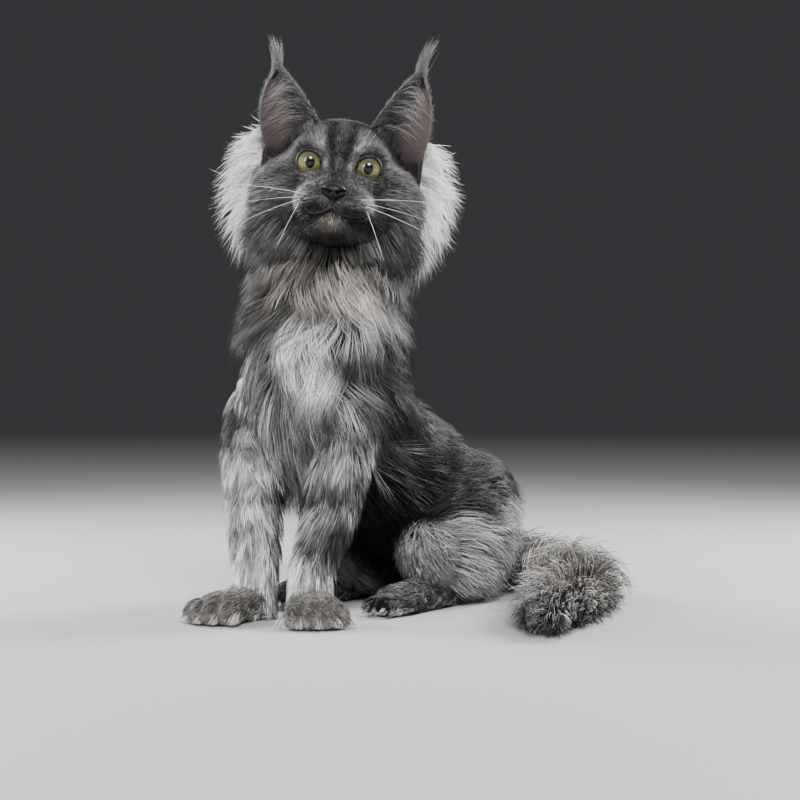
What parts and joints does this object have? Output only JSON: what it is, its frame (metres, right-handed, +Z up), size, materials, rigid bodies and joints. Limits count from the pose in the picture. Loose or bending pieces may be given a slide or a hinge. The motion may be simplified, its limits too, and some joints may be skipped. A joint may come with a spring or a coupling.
{
  "type": "maine coon cat",
  "caption": "Long-haired maine coon cat sitting upright, with tufted ears, white cheek ruffs, a full chest mane and a bushy tail laid round to the front.",
  "frame": {"origin": "on the floor under the middle of the whole cat", "axes": "+Z up, the face looks along -Y, the cat's own left side is towards +X"},
  "size_m": [0.3708, 0.4194, 0.4598],
  "materials": {
    "coat_smoke": "soft long hair, smoke black over a pale undercoat",
    "coat_silver": "soft long hair, silver with dark bands",
    "coat_paw": "short mottled hair with pale toe tufts",
    "ear_skin": "thin pinkish grey skin under long pale hairs",
    "nose_leather": "fine pebbled, slightly moist",
    "eye_gold": "wet gloss, yellow green iris with a dark pupil"
  },
  "bodies": {
    "root": {"head": "coat_smoke", "nose": "nose_leather", "eye_left": "eye_gold", "eye_right": "eye_gold", "ear_left": "ear_skin", "ear_right": "ear_skin", "neck": "coat_smoke", "chest": "coat_silver", "torso": "coat_smoke", "foreleg_left": "coat_silver", "foreleg_right": "coat_silver", "forepaw_left": "coat_paw", "forepaw_right": "coat_paw", "haunch_left": "coat_smoke", "haunch_right": "coat_smoke", "hindfoot_left": "coat_paw", "hindfoot_right": "coat_paw", "tail_base": "coat_silver", "tail_mid_1": "coat_silver", "tail_mid_2": "coat_silver", "tail_tip": "coat_silver"}
  },
  "joints": []
}
